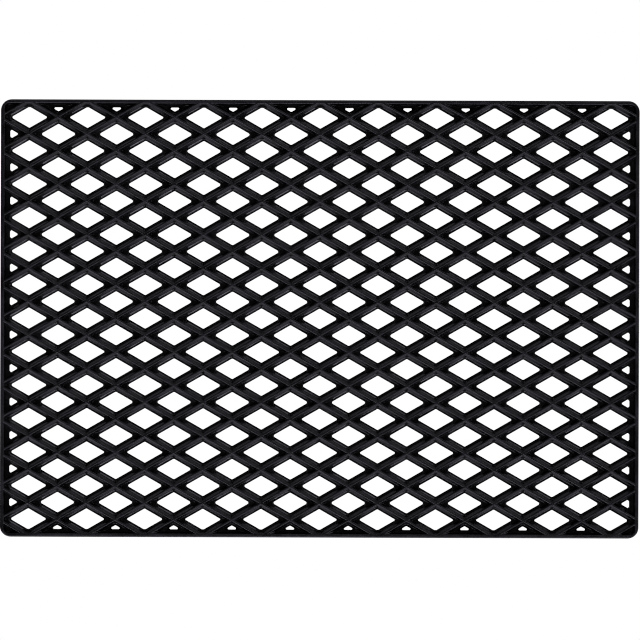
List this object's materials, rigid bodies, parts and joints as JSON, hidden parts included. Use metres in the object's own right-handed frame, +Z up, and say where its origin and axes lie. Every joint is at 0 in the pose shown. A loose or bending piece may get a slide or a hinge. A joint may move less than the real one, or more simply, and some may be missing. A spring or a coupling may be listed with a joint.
{
  "type": "door mat",
  "caption": "Flat rectangular door mat of black moulded rubber: an open diamond lattice of narrow scraper ribs on a thin web, closed by a low rim wall with rounded corners.",
  "frame": {"origin": "on the underside, at the middle of the mat's rectangle", "axes": "+X along the mat's length, +Y across its width, +Z up out of the scraping side"},
  "size_m": [0.584, 0.4, 0.01],
  "materials": {
    "black_rubber": "matt to satin moulded black rubber"
  },
  "bodies": {
    "root": {"lattice_mat": "black_rubber"}
  },
  "joints": []
}
